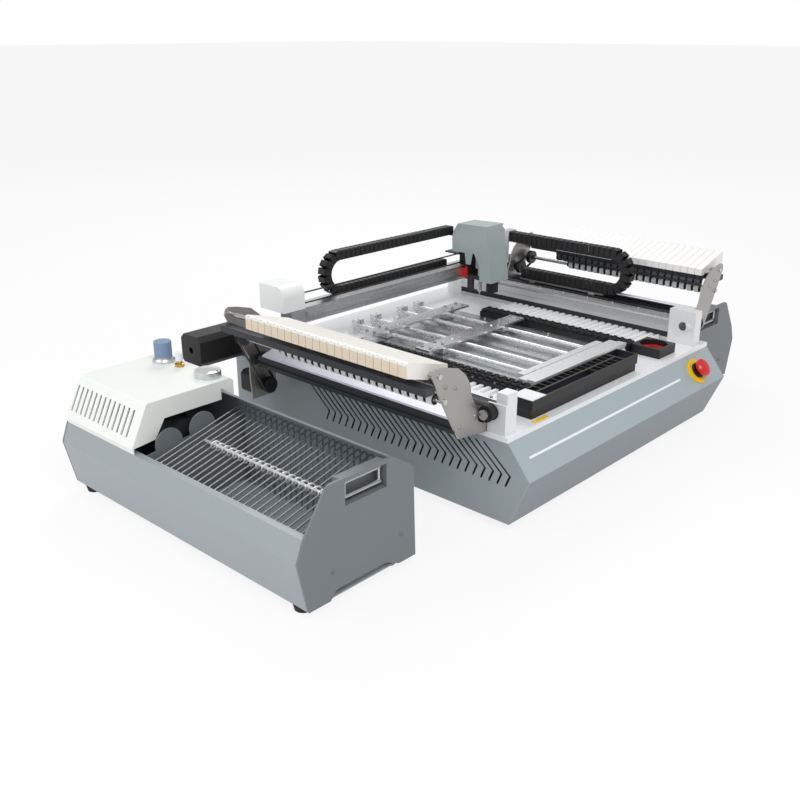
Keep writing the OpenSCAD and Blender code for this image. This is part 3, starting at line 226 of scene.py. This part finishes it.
LOOK = {
    "front_panel": dict(color=PAINT, rough=0.42, grain=900, bump=0.12, vary=0.05, coat=0.1,
                        # the front panel's lower part, facing down, gets painted shade
                        zones=[(box((-330, -360, 0), (330, -300, 96.9)), PAINT_IN_SHADE, 0.45, 0.0)]),
    "side_panels": dict(color=(150, 159, 163), rough=0.45, grain=900, bump=0.12, vary=0.05),
    # the base pan gets the same painted shade grey
    "base_pan": dict(color=PAINT_IN_SHADE, rough=0.5, grain=900, bump=0.12, vary=0.05),
    "deck_plate": dict(color=(236, 238, 240), rough=0.3, grain=700, bump=0.05, vary=0.03, coat=0.2),
    "feet": dict(color=(24, 24, 25), rough=0.75, grain=600, bump=0.2),
    "y_beams": dict(color=STEEL, rough=0.34, metal=0.85, grain=260, stretch=(8, 0.3, 8), bump=0.1,
                    # the dark band low on the beam is painted shadow in the gap under the rail
                    zones=[(box((-330, -300, 166), (330, 300, 177)), (44, 45, 48), 0.6, 0.0)]),
    "bearing_blocks": dict(color=(228, 229, 230), rough=0.35, metal=0.2, grain=500, bump=0.06,
                           zones=[(("rad", "x", P(0, -275, 194), 0.0086), STEEL, 0.25, 1.0)]),
    "y_motor": dict(color=(20, 20, 21), rough=0.55, grain=800, bump=0.15),
    "y_belts": dict(color=(26, 26, 27), rough=0.7, grain=500, bump=0.2),
    "pcb_bed": dict(color=(196, 198, 200), rough=0.24, metal=0.9, grain=180, stretch=(0.3, 14, 14), bump=0.1),
    "bed_rods": dict(color=(224, 226, 228), rough=0.28, metal=0.6, grain=300, stretch=(1, 0.3, 1), bump=0.06),
    "front_rail": dict(color=(226, 228, 230), rough=0.3, metal=0.45, grain=260, stretch=(0.3, 6, 6), bump=0.08),
    "tape_guides": dict(color=(20, 20, 22), rough=0.5, grain=600, bump=0.12,
                        zones=[(box((-330, -260, 150), (-185.6, 200, 170)), (232, 233, 234), 0.4, 0.0),
                               (box((185.6, -260, 150), (330, 200, 170)), (232, 233, 234), 0.4, 0.0)]),
    "parts_tray": dict(color=(24, 24, 26), rough=0.5, grain=600, bump=0.12,
                       zones=[(box((-240, -290, 171), (-202, -248, 195)), (232, 233, 236), 0.6, 0.0),
                              (box((-200, -288.2, 175), (78.2, -249.8, 176.2)), (176, 166, 214), 0.55, 0.0)]),
    "up_camera": dict(color=(20, 20, 22), rough=0.45, grain=700, bump=0.1,
                      zones=[(("box", P(170, -286, 150), P(220, -234, 166.2)), RED, 0.4, 0.0),
                             (("rad", "z", P(195, -260, 0), 0.0105), (16, 18, 26), 0.1, 0.0)]),
    "estop_base": dict(color=(244, 196, 20), rough=0.4, grain=600, bump=0.06,
                       zones=[(("dot", normal, normal.dot(estop) + 0.0033), BLACK, 0.5, 0.0)]),
    "rack_end_plates": dict(color=(168, 165, 162), rough=0.36, metal=0.8, grain=240, stretch=(0.4, 1, 10), bump=0.12),
    "rack_bars": dict(color=(62, 64, 68), rough=0.45, metal=0.4, grain=300, stretch=(6, 0.4, 6),
                      zones=[(box((-500, -300, 196), (500, 300, 214.5)), (214, 214, 226), 0.35, 0.3)]
                      + [(z, STEEL, 0.25, 1.0) for z in left_right(436, 276, 0.0045)]),
    "take_up_drives": dict(color=(22, 22, 23), rough=0.55, grain=700, bump=0.15),
    "tray_shells": dict(color=(152, 160, 164), rough=0.42, grain=900, bump=0.12, vary=0.05, coat=0.1),
    # the tray end plates take a darker copy of the tray paint: painted shade for faces turned from the light
    "tray_end_plates": dict(color=(112, 118, 122), rough=0.45, grain=900, bump=0.12, vary=0.05),
    "vacuum_pump": dict(color=(60, 62, 66), rough=0.45, metal=0.4, grain=400, bump=0.1),
    "pump_cover": dict(color=(236, 240, 236), rough=0.4, grain=800, bump=0.08, vary=0.03, coat=0.15),
    "air_fittings": dict(color=(206, 208, 210), rough=0.3, metal=0.8, grain=500, bump=0.05,
                         zones=[(("rad", "z", P(-533, 230, 0), 0.009), (196, 160, 84), 0.3, 1.0),
                                (("rad", "z", P(-531, 154, 0), 0.0196), (240, 240, 238), 0.5, 0.0)]),
    "regulator_knob": dict(color=(120, 142, 170), rough=0.45, grain=700, bump=0.1),
    "valve_knob": dict(color=(226, 228, 230), rough=0.4, grain=700, bump=0.08),
    "gauge_needle": dict(color=(24, 24, 24), rough=0.4, grain=700, bump=0.05),
    "left_tray_handle": dict(color=(186, 188, 190), rough=0.28, metal=1.0, grain=400, stretch=(0.3, 4, 4)),
    "right_tray_handle": dict(color=(186, 188, 190), rough=0.28, metal=1.0, grain=400, stretch=(0.3, 4, 4)),
    "back_bar": dict(color=(206, 208, 210), rough=0.26, metal=0.85, grain=220, stretch=(0.3, 12, 12), bump=0.1),
    "middle_bar": dict(color=(206, 208, 210), rough=0.26, metal=0.85, grain=220, stretch=(0.3, 12, 12), bump=0.1),
    "estop_plunger": dict(color=(150, 20, 24), rough=0.4, grain=600, bump=0.06),
    "estop_cap": dict(color=(206, 20, 26), rough=0.32, grain=600, bump=0.05, coat=0.3),
    "left_levers": dict(color=(240, 238, 232), rough=0.42, grain=700, bump=0.06, vary=0.04, zones=LEVER_ZONES_AND_SHADE),
    "right_levers": dict(color=(244, 243, 240), rough=0.42, grain=700, bump=0.06, vary=0.04, zones=LEVER_ZONES_AND_SHADE[:3]),
    "left_roller": dict(color=(240, 240, 240), rough=0.4, grain=600, zones=ROLL),
    "right_roller": dict(color=(240, 240, 240), rough=0.4, grain=600, zones=ROLL),
    "left_pinion": dict(color=(52, 53, 56), rough=0.4, metal=0.7, grain=500),
    "right_pinion": dict(color=(52, 53, 56), rough=0.4, metal=0.7, grain=500),
    "left_idler": dict(color=(46, 47, 50), rough=0.45, metal=0.5, grain=500),
    "right_idler": dict(color=(46, 47, 50), rough=0.45, metal=0.5, grain=500),
    "y_drive_shaft": dict(color=STEEL, rough=0.25, metal=1.0, grain=300, stretch=(0.3, 6, 6)),
    "gantry_beam": dict(color=(196, 198, 200), rough=0.3, metal=0.85, grain=240, stretch=(0.3, 10, 10), bump=0.1),
    "gantry_ends": dict(color=(196, 198, 200), rough=0.36, metal=0.7, grain=400, bump=0.08),
    "x_motor_cover": dict(color=(238, 240, 240), rough=0.35, grain=800, bump=0.06, vary=0.03, coat=0.2),
    "x_motor": dict(color=(24, 24, 25), rough=0.5, grain=700, bump=0.12),
    "x_drive_pulley": dict(color=(90, 92, 96), rough=0.35, metal=0.8, grain=500),
    "x_idler": dict(color=(150, 152, 156), rough=0.3, metal=0.9, grain=500),
    "x_belt": dict(color=(24, 24, 25), rough=0.7, grain=500, bump=0.2),
    "head_plate": dict(color=(52, 54, 57), rough=0.45, metal=0.5, grain=500, bump=0.08,
                       zones=[(box((155, 165, 238), (159, 185, 262)), RED, 0.4, 0.0),
                              (box((209, 165, 238), (213, 185, 262)), RED, 0.4, 0.0)]),
    "head_cover": dict(color=(158, 170, 168), rough=0.4, grain=900, bump=0.1, vary=0.04, coat=0.15),
    "nozzle_1_slide": dict(color=(190, 192, 195), rough=0.3, metal=0.8, grain=500),
    "nozzle_2_slide": dict(color=(190, 192, 195), rough=0.3, metal=0.8, grain=500),
    "nozzle_1": dict(color=(205, 205, 207), rough=0.22, metal=1.0, grain=500),
    "nozzle_2": dict(color=(205, 205, 207), rough=0.22, metal=1.0, grain=500),
    "down_camera": dict(color=(18, 18, 19), rough=0.35, grain=600, bump=0.08),
}
REPLACED = {"x_cable_chain", "y_cable_chain", "air_tube", "reel_dividers"}
for name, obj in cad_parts.items():
    if name in REPLACED:
        continue
    m = material("m_" + name, **LOOK[name])
    for s in obj.material_slots:
        s.material = m


# ---------- mesh helpers ----------

def piece(name, bm, mat, smooth=True):
    me = bpy.data.meshes.new(name)
    bm.normal_update()
    bm.to_mesh(me)
    bm.free()
    ob = bpy.data.objects.new(name, me)
    bpy.context.collection.objects.link(ob)
    me.materials.append(mat)
    if smooth:
        for p in me.polygons:
            p.use_smooth = True
    return ob


def tube(bm, points, r, sides=12):
    """A round rod along the points, with flat ends."""
    rings = []
    pts = [Vector(p) for p in points]
    up = Vector((0, 0, 1))
    for i, p in enumerate(pts):
        t = (pts[min(i + 1, len(pts) - 1)] - pts[max(i - 1, 0)]).normalized()
        if i == 0:
            side = t.cross(up if abs(t.z) < 0.9 else Vector((0, 1, 0))).normalized()
        side = (side - t * side.dot(t)).normalized()
        other = t.cross(side)
        rings.append([bm.verts.new(p + (side * math.cos(a) + other * math.sin(a)) * r)
                      for a in (2 * math.pi * k / sides for k in range(sides))])
    for a, b in zip(rings, rings[1:]):
        for k in range(sides):
            bm.faces.new((a[k], a[(k + 1) % sides], b[(k + 1) % sides], b[k]))
    bm.faces.new(rings[0][::-1])
    bm.faces.new(rings[-1])


def slab(bm, lo, hi, mat4=None, bevel=0.0):
    """A bevelled block between two corners, turned by mat4."""
    lo, hi = Vector(lo), Vector(hi)
    geo = bmesh.ops.create_cube(bm, size=1)["verts"]
    for v in geo:
        v.co = Vector((lo[i] + (hi[i] - lo[i]) * (v.co[i] + 0.5) for i in range(3)))
    if bevel:
        edges = list({e for v in geo for e in v.link_edges})
        geo = list({v for f in bmesh.ops.bevel(bm, geom=edges, offset=bevel, segments=2, affect="EDGES")["faces"]
                    for v in f.verts} | {v for v in geo if v.is_valid})
    if mat4 is not None:
        for v in geo:
            v.co = mat4 @ v.co


# ---------- cable chains: links along the lower run, the curl and the upper run ----------

CHAIN = material("m_chain", (28, 28, 30), rough=0.5, grain=700, bump=0.15)


def chain_link(bm, mat4, pitch, h, w):
    """Two side plates with rounded corners, and a crossbar over and under the cables."""
    for s in (-1, 1):
        y = s * (w / 2 - 0.0012)
        slab(bm, (-pitch * 0.5, y - 0.0011, -h * 0.49), (pitch * 0.47, y + 0.0011, h * 0.49), mat4, 0.0009)
    for z in (-1, 1):
        slab(bm, (-pitch * 0.44, -w / 2 + 0.0024, z * h * 0.45 - 0.0009), (pitch * 0.4, w / 2 - 0.0024, z * h * 0.45 + 0.0009),
             mat4, 0.0005)


def chain(name, axis, curl, low_end, top_end, across, low, r, h, w):
    """axis is the runs' direction, low the lower run's height, r the curl's radius; lengths are in metres."""
    run = Vector((1, 0, 0)) if axis == "x" else Vector((0, 1, 0))
    side = Vector((0, 1, 0)) if axis == "x" else Vector((-1, 0, 0))
    top = low + 2 * r

    def at(u, z, turn):
        """A link's place: u along the run, z its height, turn its slope."""
        fwd = run * math.cos(turn) + Vector((0, 0, 1)) * math.sin(turn)
        m = Matrix((fwd, side, fwd.cross(side))).transposed().to_4x4()
        m.translation = run * u + Vector((0, 0, z)) + across
        return m

    def line(tag, u0, u1, z):
        n = max(2, round(abs(u1 - u0) / 0.013))
        step = (u1 - u0) / n
        bm = bmesh.new()
        for i in range(n):
            chain_link(bm, at(u0 + (i + 0.5) * step, z, 0), step, h, w)
        return piece(name + tag, bm, CHAIN, False)

    lower = line("_lower", curl, low_end, low)
    upper = line("_upper", curl, top_end, top)
    bm = bmesh.new()
    n = 8
    for i in range(n):
        a = math.pi / 2 + math.pi * (i + 0.5) / n
        m = at(curl + r * math.cos(a), low + r + r * math.sin(a), a + math.pi / 2)
        chain_link(bm, m, math.pi * r / n, h, w)
    bend = piece(name + "_curl", bm, CHAIN, False)
    # a line across the chain, so long that the whole curl counts as its middle
    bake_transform(lower)
    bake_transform(bend)
    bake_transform(upper)
    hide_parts(name)


XC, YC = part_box("x_cable_chain"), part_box("y_cable_chain")
chain("x_cable_chain", "x", XC[0][0] + 0.043, OX + 0.150, XC[1][0], Vector((0, (XC[0][1] + XC[1][1]) / 2, 0)),
      XC[0][2] + 0.009, 0.034, 0.0178, 0.0218)
chain("y_cable_chain", "y", YC[0][1] + 0.049, OY + 0.150, YC[1][1], Vector(((YC[0][0] + YC[1][0]) / 2, 0, 0)),
      YC[0][2] + 0.011, 0.038, 0.0218, 0.0238)

# ---------- air tube ----------

TUBE_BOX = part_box("air_tube")
start = Vector((P(164, 0, 0).x, P(0, 137, 0).y, TUBE_BOX[0][2]))
reach = 0.029
pts = [start + Vector((0, reach * (1 - math.cos(a)), reach * 0.97 * math.sin(a)))
       for a in (math.pi / 2 * k / 18 for k in range(19))]
bm = bmesh.new()
tube(bm, pts, 0.0019, 16)
hose = piece("air_hose", bm, material("m_hose", (40, 140, 214), rough=0.3, grain=500, bump=0.04, coat=0.4))
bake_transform(hose)
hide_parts("air_tube")

# ---------- reel dividers: bent wires with hooks, and a wound coil ----------

WIRE = material("m_wire", (196, 198, 202), rough=0.25, metal=1.0, grain=500, bump=0.04)
COIL = material("m_coil", (226, 228, 230), rough=0.35, metal=0.5, grain=500, bump=0.04)
for k, (dx, dy, s) in enumerate(((0, 0, 1), (-132.6, 20.8, -1))):
    bm = bmesh.new()
    for i in range(26):
        y = -241.4 + i * 13.4 + dy
        pts = []
        for j in range(9):
            t = j / 8
            pts.append((-704 + 192 * t, 111 + 50.4 * t))
        for j in range(1, 7):
            a = math.radians(75.3 * j / 6)
            pts.append((-512 + 6 * math.sin(a) * 1.0, 161.4 - 5 * (1 - math.cos(a))))
        pts.append((-506, 150))
        pts.append((-506, 17.6))
        tube(bm, [P(s * x + (dx if k else 0), y, z) for x, z in pts], 0.00145, 8)
    w = piece("divider_wires_" + "lr"[k], bm, WIRE)
    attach(w, "machine")
    bm = bmesh.new()
    cz = 111 + 90 * math.tan(math.atan2(52, 198)) + 1.5 / math.cos(math.atan2(52, 198)) + 4.3
    turns, per = 21, 16
    path = [P(s * (-614 + 6.6 * math.cos(2 * math.pi * q / per)) + (dx if k else 0), -242 + dy + 13.4 * q / per,
              cz + 6.6 * math.sin(2 * math.pi * q / per)) for q in range(turns * per + 1)]
    tube(bm, path, 0.0012, 8)
    tube(bm, [P(s * -614 + (dx if k else 0), -264.6 + dy + j * 32, cz) for j in range(11)], 0.0024, 12)
    c = piece("divider_coil_" + "lr"[k], bm, COIL)
    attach(c, "machine")
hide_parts("reel_dividers")

# ---------- gauge glass and ticks ----------------

TOP = P(-531, 154, 200)
bm = bmesh.new()
for i in range(31):
    a = math.radians(225 - 270 * i / 30)
    inner = 0.0155 if i % 5 == 0 else 0.017
    m = Matrix.Translation(TOP + Vector((0, 0, 0.0072))) @ Matrix.Rotation(a, 4, "Z")
    slab(bm, (inner, -0.0003, 0), (0.0188, 0.0003, 0.0002), m)
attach(piece("gauge_ticks", bm, material("m_ticks", (20, 20, 20), rough=0.6), False), "machine")
bm = bmesh.new()
profile = [(0, 0.0112), (0.008, 0.011), (0.015, 0.0105), (0.019, 0.0097), (0.0193, 0.009), (0.0, 0.0092)]
rings = []
for r, z in profile:
    rings.append([bm.verts.new(TOP + Vector((max(r, 0.0002) * math.cos(a), max(r, 0.0002) * math.sin(a), z)))
                  for a in (2 * math.pi * q / 40 for q in range(40))])
for a, b in zip(rings, rings[1:]):
    for q in range(40):
        bm.faces.new((a[q], a[(q + 1) % 40], b[(q + 1) % 40], b[q]))
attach(piece("gauge_glass", bm, material("m_glass", (250, 250, 250), rough=0.03, grain=300, bump=0.0, vary=0.0, clear=1.0)), "machine")

# ---------- small trim ----------

BROWN = material("m_notch", (120, 92, 62), rough=0.6, grain=500)
for k, s, body in ((0, -1, "left_levers"), (1, 1, "right_levers")):
    bm = bmesh.new()
    for i in range(22):
        y = -246 + i * 16
        a, b = P(s * 484.9, y + 5, 295), P(s * 482, y + 10, 303.3)
        slab(bm, (min(a.x, b.x), a.y, a.z), (max(a.x, b.x), b.y, b.z), None, 0.0004)
    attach(piece("lever_notches_" + "lr"[k], bm, BROWN, False), body)

YELLOW = material("m_yellow", (246, 206, 40), rough=0.45, grain=600, bump=0.04)
bm = bmesh.new()
slab(bm, P(-247, -302, 158.0), P(-207, -293, 158.5), None, 0.0002)
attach(piece("deck_patch", bm, YELLOW, False), "machine")

bm = bmesh.new()
turn = Matrix.Translation(P(-57.5, -328.5, 123.5)) @ Matrix.Rotation(tilt, 4, "X")
slab(bm, (-0.2385, -0.002, 0.0), (0.2385, 0.002, 0.0005), turn, 0.0002)
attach(piece("front_stripe", bm, material("m_stripe", (240, 242, 244), rough=0.4, grain=600), False), "machine")

SCREW = material("m_screw", (170, 172, 176), rough=0.25, metal=1.0, grain=600)


def screws(name, body, places, r=0.0032, mat=SCREW):
    """Socket-head screws standing on +Z faces."""
    bm = bmesh.new()
    for p in places:
        prof = [(r, 0), (r, r * 0.75), (r * 0.86, r * 0.95), (r * 0.5, r * 0.95), (r * 0.46, r * 0.4), (0.00005, r * 0.4)]
        rows = [[bm.verts.new(p + Vector((q * math.cos(a), q * math.sin(a), z)))
                 for a in (2 * math.pi * j / 18 for j in range(18))] for q, z in prof]
        for a, b in zip(rows, rows[1:]):
            for j in range(18):
                bm.faces.new((a[j], a[(j + 1) % 18], b[(j + 1) % 18], b[j]))
    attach(piece(name, bm, mat), body)


screws("bed_screws", "machine", [P(x, y, 164) for x in (-138, -30, 30, 138) for y in (-222, -60, 100, 190)])
screws("bar_screws_back", "back_bar", [P(x, 168 + y, 183) for x in (-135, -100, 100, 135) for y in (-10, 10)])
screws("bar_screws_middle", "middle_bar", [P(x, 24 + y, 183) for x in (-135, -100, 100, 135) for y in (-10, 10)])
screws("rail_screws_left", "machine", [P(-307.5, y, 207.6) for y in range(-260, 280, 60)], 0.0026)
screws("rail_screws_right", "machine", [P(290.5, y, 207.6) for y in range(-230, 280, 60)], 0.0026)
screws("comb_screws", "machine", [P(s * 182, -220 + 48 * i, 174) for s in (-1, 1) for i in range(8)], 0.0022)

# ---------- floor, lights, background ----------

bm = bmesh.new()
bmesh.ops.create_grid(bm, x_segments=8, y_segments=8, size=40)
floor_mat = bpy.data.materials.new("m_floor")
floor_mat.use_nodes = True
nt = floor_mat.node_tree
nt.nodes.clear()
out = nt.nodes.new("ShaderNodeOutputMaterial")
diff = nt.nodes.new("ShaderNodeBsdfDiffuse")
diff.inputs[0].default_value = (0.86, 0.86, 0.87, 1)
emit = nt.nodes.new("ShaderNodeEmission")
emit.inputs[1].default_value = 1.0
lp = nt.nodes.new("ShaderNodeLightPath")
seen = maths(nt, "MAXIMUM", maths(nt, "MAXIMUM", lp.outputs["Is Camera Ray"], lp.outputs["Is Glossy Ray"]),
             lp.outputs["Is Transmission Ray"])
mx = nt.nodes.new("ShaderNodeMixShader")
nt.links.new(maths(nt, "MULTIPLY", seen, 0.86), mx.inputs[0])
nt.links.new(diff.outputs[0], mx.inputs[1])
nt.links.new(emit.outputs[0], mx.inputs[2])
nt.links.new(mx.outputs[0], out.inputs[0])
piece("floor", bm, floor_mat, False)

world = bpy.data.worlds.new("world")
bpy.context.scene.world = world
world.use_nodes = True
nt = world.node_tree
bg = nt.nodes["Background"]
lp = nt.nodes.new("ShaderNodeLightPath")
seen = maths(nt, "MAXIMUM", lp.outputs["Is Camera Ray"], lp.outputs["Is Transmission Ray"])
nt.links.new(maths(nt, "ADD", maths(nt, "MULTIPLY", seen, 0.45), 0.55), bg.inputs[1])
bg.inputs[0].default_value = (1, 1, 1, 1)


def lamp(name, place, power, size, target=(0.0, 0.0, 0.12)):
    data = bpy.data.lights.new(name, "AREA")
    data.energy = power
    data.size = size
    ob = bpy.data.objects.new(name, data)
    ob.location = place
    ob.rotation_euler = (Vector(target) - Vector(place)).to_track_quat("-Z", "Y").to_euler()
    bpy.context.collection.objects.link(ob)


lamp("key", (-1.2, -2.0, 2.6), 46, 1.6)
lamp("fill", (-2.4, 0.6, 1.6), 20, 1.8)
lamp("rim", (1.6, 1.8, 2.4), 30, 1.4)
